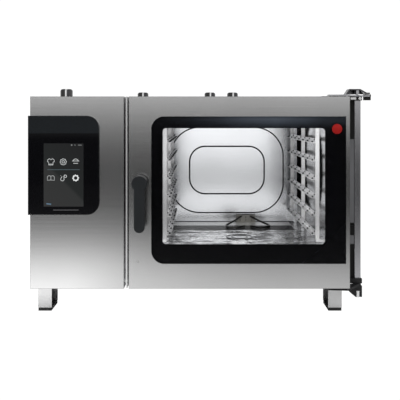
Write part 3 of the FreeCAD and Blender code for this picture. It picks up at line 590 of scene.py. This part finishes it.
def right_wall_marks(right, fold_shade):
    """The fold of the right wall's bead as a dark wire of painted shade, and two dark strips on the
    wall's flat that are painted reflections.
    """
    bead = round_rect(-231 * MM, 330 * MM, 135 * MM, 690 * MM, 165 * MM, 20)
    path = [(right - BEAD_LIFT, y, z) for y, z in bead]
    strokes("side_fold", [(path, True)], 4.2 * MM, fold_shade, "cabinet")
    painted_reflection = moulded("painted_reflection_black", grey(0.004), 0.7, level=0.0)
    bottom, top, thick = 300 * MM, 700 * MM, 0.6 * MM
    flat = right + BEAD_DEEP
    strips = (("wall_painted_reflection_rear", 246 * MM, 362 * MM), ("wall_painted_reflection_middle", 104 * MM, 160 * MM))
    for name, near, far in strips:
        outline = round_rect(near, bottom, far, top, 6 * MM, 4)
        bm = bmesh.new()
        face = bm.faces.new([bm.verts.new((flat - thick, y, z)) for y, z in outline])
        raised = bmesh.ops.extrude_face_region(bm, geom=[face])["geom"]
        bmesh.ops.translate(bm, verts=[v for v in raised if isinstance(v, bmesh.types.BMVert)],
                            vec=Vector((-thick, 0, 0)))
        place_mesh(name, bm, painted_reflection, "cabinet")


def floor_corner(left, right, back, floor, fold_shade):
    """A dark wire of painted shade in the corner where floor and back wall meet."""
    y, z = back - BEAD_LIFT, floor + 3 * MM
    path = [(left + 4 * MM, y, z), (right - 4 * MM, y, z)]
    strokes("floor_corner", [(path, False)], 2.6 * MM, fold_shade, "cabinet")


def chamber_pieces():
    """Fold lines and marks of the chamber walls, drawn as dark wires and strips of painted shade and
    painted reflection, and the shape of the floor's back edge.
    """
    fold_shade = steel("fold_shadow", (0.02, 0.021, 0.022), 0.4, ALONG_X, depth=0.1)
    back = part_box("cavity_back_wall")[0].y
    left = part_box("suction_panel")[1].x
    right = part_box("cavity_right_wall")[0].x
    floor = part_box("cavity_floor")[1].z - SILL_HIGH
    back_wall_folds(back, fold_shade)
    floor_sill(left, right, back, floor)
    floor_dip(left, right, back, floor)
    right_wall_marks(right, fold_shade)
    floor_corner(left, right, back, floor, fold_shade)


# ------------------------------------------------------------------ controls

# places on the display in millimetres from its left and top edges
ICON_COLUMNS = (25, 68, 111)
ICON_ROWS = (64, 120)
DIVIDER_ROW = 91


def toothed(radius, tip, root, teeth=8):
    """The outline of a gear wheel; tip and root are shares of its radius."""
    points = []
    for n in range(4 * teeth):
        angle = 2 * math.pi * n / (4 * teeth)
        share = tip if n % 4 < 2 else root
        points.append((radius * math.cos(angle) * share, radius * math.sin(angle) * share))
    return points


def screen_picture(low, high, glass):
    """The lit background of the display: its lower left is paler, up to a slanting edge."""
    build = Nodes("screen_picture")
    slant = build.calculate("ADD", build.axis("X"), build.axis("Z"))
    shade = build.ramp(build.share(slant, low.x + low.z, high.x + high.z), [
        (0.0, grey(0.032)), (0.42, (0.029, 0.03, 0.03)), (0.46, (0.016, 0.018, 0.018)),
        (1.0, (0.013, 0.013, 0.014))])
    picture = build.finish(Base_Color=(*grey(0.002), 1), Emission_Color=shade,
                           Emission_Strength=1.0, Roughness=0.3, Specular_IOR_Level=0.1)
    outline = round_rect(low.x, low.z, high.x, high.z, 1 * MM, 3)
    slab("screen_picture", outline, glass - 0.15 * MM, glass, picture, "cabinet")


def icon_paths():
    """The six icons by name, as (column, row, paths), in millimetres round their middle."""
    jacket = [(-5, 11), (-11, 7), (-12, 0), (-8, 0), (-7, -11), (7, -11), (8, 0), (12, 0),
              (11, 7), (5, 11), (0, 7)]
    left_page = [(0, 6)] + arc(-6, 2, 6, 60, 180) + [(-12, -8), (0, -7)]
    right_page = [(0, 6)] + arc(6, 2, 6, 120, 0) + [(12, -8), (0, -7)]
    return {
        "icon_jacket": (0, 0, [(jacket, True), ([(-7, -8), (7, -8)], False)]),
        "icon_program": (1, 0, [(toothed(9.5, 1.16, 1), True), (arc(0, 0, 4.5, 0, 345), True)]),
        "icon_plate": (2, 0, [(arc(0, 1, 9, 20, 160), False), ([(-12, 3), (12, 3)], False),
                              ([(-8, -5), (8, -5)], False)]),
        "icon_book": (0, 1, [([(0, -7), (0, 6)], False), (left_page, False), (right_page, False)]),
        "icon_care": (1, 1, [(arc(-3, -4, 6, 150, 400), False), ([(-8, -1), (-4, 6)], False),
                             (arc(7, 6, 4.5, 0, 345), True), ([(1, 2), (4, 9)], False),
                             ([(-9, 9), (-9, 8)], False)]),
        "icon_gear": (2, 1, [(toothed(8, 1.3, 0.92), True)]),
    }


def controls():
    """What the display shows, and the plain dash printed under it, which is given a faint painted
    glow.
    """
    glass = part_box("control_glass")[0].y
    low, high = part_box("display_screen")
    screen_picture(low, high, glass)
    middle = (low.x + high.x) / 2
    y = glass - 0.3 * MM

    def drawn(name, cx, cz, paths, wire, material):
        shaped = [([(cx + x * MM, y, cz + z * MM) for x, z in path], closed)
                  for path, closed in paths]
        strokes(name, shaped, wire * MM, material, "cabinet")

    bright = glowing("icon_light", (0.62, 0.64, 0.64))
    special = {"icon_book": (1.0, glowing("icon_soft", (0.36, 0.37, 0.37))),
               "icon_gear": (1.5, glowing("icon_white", (0.9, 0.92, 0.92)))}
    for name, (column, row, paths) in icon_paths().items():
        wire, material = special.get(name, (0.9, bright))
        drawn(name, low.x + ICON_COLUMNS[column] * MM, high.z - ICON_ROWS[row] * MM, paths,
              wire, material)
    drawn("divider", middle, high.z - DIVIDER_ROW * MM, [([(-56, 0), (56, 0)], False)], 1.3,
          glowing("divider_light", (0.02, 0.045, 0.055)))
    status = [(arc(-19, 0, 1.6, 0, 340), True), ([(-9, 1.5), (-6, -1.5)], False),
              ([(3, 0), (16, 0)], False)]
    drawn("status_marks", high.x - 22 * MM, high.z - 6 * MM, status, 1.2,
          glowing("icon_dim", (0.16, 0.17, 0.17)))
    drawn("corner_mark", low.x + 18 * MM, low.z + 9 * MM, [([(-8, 1), (8, -1)], False)], 2.2,
          glowing("mark_light", (0.06, 0.13, 0.2)))
    # the printed dash glows faintly instead of being lit by the lamps: painted light
    drawn("maker_dash", middle + 8 * MM, low.z - 12 * MM, [([(-44, 0), (44, 0)], False)], 0.9,
          glowing("print_painted_glow", (0.09, 0.09, 0.095)))


# ------------------------------------------------------------------ door and casing details

# middles of the round badge on the glass and of the plug in the steel, as (x, z)
BADGE_PLACE = (465 * MM, 673 * MM)
PLUG_PLACE = (-227 * MM, 212 * MM)

SCREW_RADIUS = 4 * MM
FOLD_WIRE = 0.6 * MM


def outline_wire(name, node, material, body):
    """A fine dark wire of painted shade where a panel's face turns over its folded edge."""
    low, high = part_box(node)
    y = low.y + FOLD_WIRE * 0.6
    left, right = low.x + FOLD_WIRE, high.x - FOLD_WIRE
    bottom, top = low.z + FOLD_WIRE, high.z - FOLD_WIRE
    corners = [(left, y, bottom), (right, y, bottom), (right, y, top), (left, y, top)]
    strokes(name, [(corners, True)], FOLD_WIRE, material, body)


def screws(name, spots, axis):
    """Low domed heads on a flat panel of the cabinet; axis points out of the panel."""
    shape = ((1.0, 0.0), (1.0, 0.12), (0.85, 0.3), (0.5, 0.42), (0.0, 0.45))
    profile = [(SCREW_RADIUS * share, SCREW_RADIUS * lift) for share, lift in shape]
    bm = bmesh.new()
    for spot in spots:
        lathe(bm, profile, spot, axis, steps=20)
    place_mesh(name, bm, M["bolt_chrome"], "cabinet", smooth=True)


def panel_fixings():
    """Rows of screws on the rear and side panels, and dark wires of painted shade along the folded
    edges of the front sheets.
    """
    side_edge, row_edge, seat = 30 * MM, 20 * MM, 0.1 * MM
    low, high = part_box("rear_panel")
    y = high.y + seat
    left, right = low.x + side_edge, high.x - side_edge
    spots = []
    for n in range(6):
        x = left + (right - left) * n / 5
        spots += [(x, y, high.z - row_edge), (x, y, low.z + row_edge)]
    for n in range(1, 4):
        z = low.z + (high.z - low.z) * n / 4
        spots += [(left, y, z), (right, y, z)]
    screws("rear_screws", spots, (0, 1, 0))
    end = 40 * MM
    for node, side in (("left_side_panel", -1), ("right_side_panel", 1)):
        low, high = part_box(node)
        x = low.x - seat if side < 0 else high.x + seat
        spots = [(x, low.y + end + (high.y - low.y - 2 * end) * n / 4, z)
                 for n in range(5) for z in (low.z + row_edge, high.z - row_edge)]
        screws(node + "_screws", spots, (side, 0, 0))
    fold_shade = steel("fold_line_shade", grey(0.10), 0.4, ALONG_X, depth=0.1)
    outline_wire("door_edge_line", "door_outer_shell", fold_shade, "door")
    outline_wire("control_edge_line", "control_front_panel", fold_shade, "cabinet")


def gap_cover():
    """Grey covers on the channel between door and post, between its black blocks."""
    low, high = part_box("slide_lock_channel")
    cover = moulded("cover_grey", (0.1, 0.1, 0.105), 0.6, level=0.2)
    stretches = (("channel_cover", 332 * MM, 634 * MM), ("channel_cover_low", 255 * MM, 286 * MM))
    for name, foot, head in stretches:
        outline = round_rect(low.x + 2 * MM, foot, high.x - 2 * MM, head, 1 * MM, 3)
        slab(name, outline, low.y - 0.2 * MM, low.y + 5.5 * MM, cover, "swing_frame", 0.4 * MM)


def glass_print():
    """The black print behind the outer pane, a hair off the glass so that they never flicker."""
    low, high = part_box("door_glass_border")
    corner, square = 45 * MM, 0.2 * MM
    outer = round_rect(low.x, low.z, high.x, high.z, [square, square, corner, corner], 12)
    inner = round_rect(*window_edges(), 12 * MM, 12)
    near, far = low.y + 0.15 * MM, high.y - 0.1 * MM
    bm = bmesh.new()
    loops = [[bm.verts.new((x, y, z)) for x, z in outline] for outline, y in
             ((outer, near), (inner, near), (inner, far), (outer, far))]
    for loop, following in zip(loops, loops[1:] + loops[:1]):
        skirt(bm, loop, following)
    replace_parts(place_mesh("glass_print", bm, M["black_enamel"], "door"), "door_glass_border")


def badge_material():
    build = Nodes("badge_red")
    tone = build.noise(build.place, 60.0, 2)
    colour = build.ramp(tone, [(0.3, (0.20, 0.002, 0.001)), (0.7, (0.25, 0.003, 0.002))])
    return build.finish(Base_Color=colour, Roughness=0.35, Specular_IOR_Level=0.15)


def door_details():
    """The plain red badge on the glass, and the grey plug in the door's steel."""
    dome = [(0, -4), (9, -3.6), (15, -2.2), (17.5, -0.6), (17.7, 0), (0, 0)]
    stud = [(0, -1.2), (4, -1), (5, -0.2), (5, 0), (0, 0)]
    plug_grey = moulded("plug_grey", grey(0.3), 0.5)
    for name, profile, (x, z), node, material in (
            ("door_badge", dome, BADGE_PLACE, "door_outer_glass", badge_material()),
            ("door_plug", stud, PLUG_PLACE, "door_outer_shell", plug_grey)):
        shape = [(radius * MM, along * MM) for radius, along in profile]
        turned(name, shape, (x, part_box(node)[0].y, z), (0, 1, 0), material, "door")


# ------------------------------------------------------------------ roof pipes

PIPE_RADIUS = 25 * MM
PIPE_PLACES = ((-558 * MM, -42 * MM), (-276 * MM, 306 * MM), (35 * MM, 306 * MM),
               (140 * MM, 306 * MM))


def pipe_material():
    """Dark polished tube with one bright stripe down the side that faces right: a painted highlight
    beside painted shade, set by which way the surface faces.
    """
    build = Nodes("pipe_painted_highlight")
    normal = build.node("TexCoord").outputs["Normal"]
    tone = build.ramp(build.share(build.axis("X", normal), -1, 1), [
        (0.0, grey(0.12)), (0.2, grey(0.04)), (0.47, grey(0.05)), (0.51, grey(0.9)),
        (0.58, grey(0.6)), (0.64, (0.045, 0.045, 0.05)), (1.0, grey(0.1))])
    wear = build.noise(build.stretched(ALONG_Z), 1.0, 4)
    return build.finish(Base_Color=tone, Metallic=1.0, Roughness=build.spread(wear, 0.15, 0.25))


def roof_pipes():
    """Each stub is rolled inwards at the top and has a bead of weld at its foot."""
    dark = pipe_material()
    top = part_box("roof_vents")[1].z
    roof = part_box("roof_panel")[1].z
    # outwards from the pipe's radius and up, in millimetres: from the roof, then from the top
    weld = [(7, 0), (6.5, 2.4), (3, 3), (0, 5)]
    rolled = [(0, -9), (-1.2, -5), (-4, -2), (-8, -0.4), (-9, -1), (-9, -3), (-2, -8)]
    profile = [(PIPE_RADIUS + out * MM, roof + up * MM) for out, up in weld]
    profile += [(PIPE_RADIUS + out * MM, top + up * MM) for out, up in rolled]
    profile.append((PIPE_RADIUS - 2 * MM, roof))
    for n, (x, y) in enumerate(PIPE_PLACES):
        piece = turned("roof_pipe_%d" % (n + 1), profile, (x, y, 0), (0, 0, 1), dark, "cabinet")
        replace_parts(piece, "roof_vents")


chamber_pieces()
rack_hole_shades()
strainer_rings()
controls()
door_details()
glass_print()
panel_fixings()
gap_cover()
roof_pipes()


# ------------------------------------------------------------------ camera

EYE_AWAY = 2.2
EYE_SIDE = -0.011
EYE_HIGH = 0.711
LENS = 56.9
SHIFT = -0.205


def camera():
    """Level, straight in front and near the oven's roof height, the frame shifted down onto it."""
    data = bpy.data.cameras.new("camera")
    data.sensor_width = 36
    data.lens = LENS
    data.shift_y = SHIFT
    made = bpy.data.objects.new("camera", data)
    made.location = (EYE_SIDE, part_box("door_outer_shell")[0].y - EYE_AWAY, EYE_HIGH)
    made.rotation_euler = (math.pi / 2, 0, 0)
    bpy.context.scene.collection.objects.link(made)
    bpy.context.scene.camera = made


# ------------------------------------------------------------------ room and light

CARD_FAR = 4.5
CARD_HALF = 6
CARD_HIGH = 4
FLOOR_HALF = 12


def emitter(name, runs, strength):
    """An emission material; each run is (axis, low, high, stops), and their tones multiply."""
    build = Nodes(name)
    level = strength
    for run in runs:
        level = build.calculate("MULTIPLY", build.bands(*run), level)
    return build.surface(build.set(build.node("Emission"), Strength=level))


def card(name, corners, material, diffuse=False):
    """A four-cornered card that the camera doesn't see: it shows in reflections."""
    mesh = bpy.data.meshes.new(name)
    mesh.from_pydata(corners, [], [(0, 1, 2, 3)])
    mesh.materials.append(material)
    made = bpy.data.objects.new(name, mesh)
    made.visible_camera = False
    made.visible_diffuse = diffuse
    made.visible_shadow = False
    made.visible_transmission = False
    bpy.context.scene.collection.objects.link(made)


def area(name, place, aim, size_x, size_y, power):
    """A soft light that isn't seen in reflections."""
    data = bpy.data.lights.new(name, "AREA")
    data.shape = "RECTANGLE"
    data.size = size_x
    data.size_y = size_y
    data.energy = power
    made = bpy.data.objects.new(name, data)
    made.location = place
    made.rotation_euler = (Vector(aim) - Vector(place)).to_track_quat("-Z", "Y").to_euler()
    made.visible_glossy = False
    made.visible_camera = False
    bpy.context.scene.collection.objects.link(made)


def studio_world():
    """An even white surround, a little brighter to the camera than to the oven."""
    world = bpy.data.worlds.new("studio")
    world.use_nodes = True
    tree = world.node_tree
    back = tree.nodes["Background"]
    back.inputs["Color"].default_value = (1, 1, 1, 1)
    path = tree.nodes.new("ShaderNodeLightPath")
    level = tree.nodes.new("ShaderNodeMapRange")
    level.inputs["To Min"].default_value = 0.85
    level.inputs["To Max"].default_value = 1.05
    tree.links.new(path.outputs["Is Camera Ray"], level.inputs["Value"])
    tree.links.new(level.outputs["Result"], back.inputs["Strength"])
    bpy.context.scene.world = world
    bpy.context.scene.view_settings.view_transform = "Standard"
    bpy.context.scene.view_settings.look = "None"


def studio_floor():
    """A plain pale floor that lights the oven from below; the picture shows the surround."""
    build = Nodes("floor")
    tone = build.noise(build.place, 2.0, 2)
    white = build.finish(Base_Color=build.ramp(tone, [(0.3, grey(0.93)), (0.7, grey(0.95))]),
                         Roughness=0.9)
    mesh = bpy.data.meshes.new("floor")
    half = FLOOR_HALF
    mesh.from_pydata([(-half, -half, 0), (half, -half, 0), (half, half, 0), (-half, half, 0)],
                     [], [(0, 1, 2, 3)])
    mesh.materials.append(white)
    floor = bpy.data.objects.new("floor", mesh)
    floor.visible_camera = False
    bpy.context.scene.collection.objects.link(floor)


def front_cards():
    """What the front mirrors: a pale floor close by, a dim room far off, and light above it."""
    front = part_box("door_outer_shell")[0].y
    far = front - CARD_FAR
    # (distance in front of the door, tone)
    fading = [(CARD_FAR, 0.03), (3.0, 0.04), (2.0, 0.12), (1.3, 0.37), (0.8, 0.76), (0.4, 1.0),
              (0, 1.0)]
    depth = ("Y", far, front, [(front - away, tone) for away, tone in fading])
    across = ("X", -1.2, 1.2, [(-1.2, 1.0), (-0.55, 0.95), (-0.3, 0.62), (0.1, 0.47),
                               (0.6, 0.42), (1.2, 0.4)])
    floor_glow = emitter("card_floor", [depth, across], 1.7)
    low = 2 * MM
    card("reflect_floor", [(-CARD_HALF, far, low), (CARD_HALF, far, low),
                           (CARD_HALF, front, low), (-CARD_HALF, front, low)], floor_glow)
    height = ("Z", 0, CARD_HIGH, [(0.0, 0.02), (0.5, 0.02), (0.56, 0.22), (0.8, 0.22),
                                  (0.95, 0.75), (1.15, 1.0), (CARD_HIGH, 1.0)])
    card("reflect_wall", [(-CARD_HALF, far, 0), (CARD_HALF, far, 0),
                          (CARD_HALF, far, CARD_HIGH), (-CARD_HALF, far, CARD_HIGH)],
         emitter("card_wall", [height], 1.0))


def chamber_light():
    """A soft glow in the chamber's mouth that lights only the steel inside."""
    low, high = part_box("cavity_floor")[0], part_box("cavity_ceiling")[1]
    # (height above the chamber's floor, tone)
    rising = [(0, 0.9), (0.04, 0.85), (0.08, 0.52), (0.13, 0.43), (0.18, 0.49), (0.23, 0.57),
              (0.32, 0.79), (0.37, 0.92)]
    stops = [(low.z + up, tone) for up, tone in rising] + [(high.z, 1.0)]
    glow = emitter("card_mouth", [("Z", low.z, high.z, stops)], 1.6)
    mouth = low.y + 12 * MM
    card("reflect_mouth", [(low.x, mouth, low.z), (high.x, mouth, low.z),
                           (high.x, mouth, high.z), (low.x, mouth, high.z)], glow, diffuse=True)
    middle = (low.x + high.x) / 2
    area("chamber_low", (middle, low.y + 0.05, low.z + 0.25), (middle, high.y, low.z + 0.3),
         0.34, 0.3, 2)


camera()
studio_world()
studio_floor()
front_cards()
area("key", (-1.5, -3.0, 3.2), (0, 0, 0.5), 2.5, 1.5, 60)
area("fill", (2.2, -2.5, 1.8), (0, 0, 0.4), 1.5, 1.5, 20)
chamber_light()
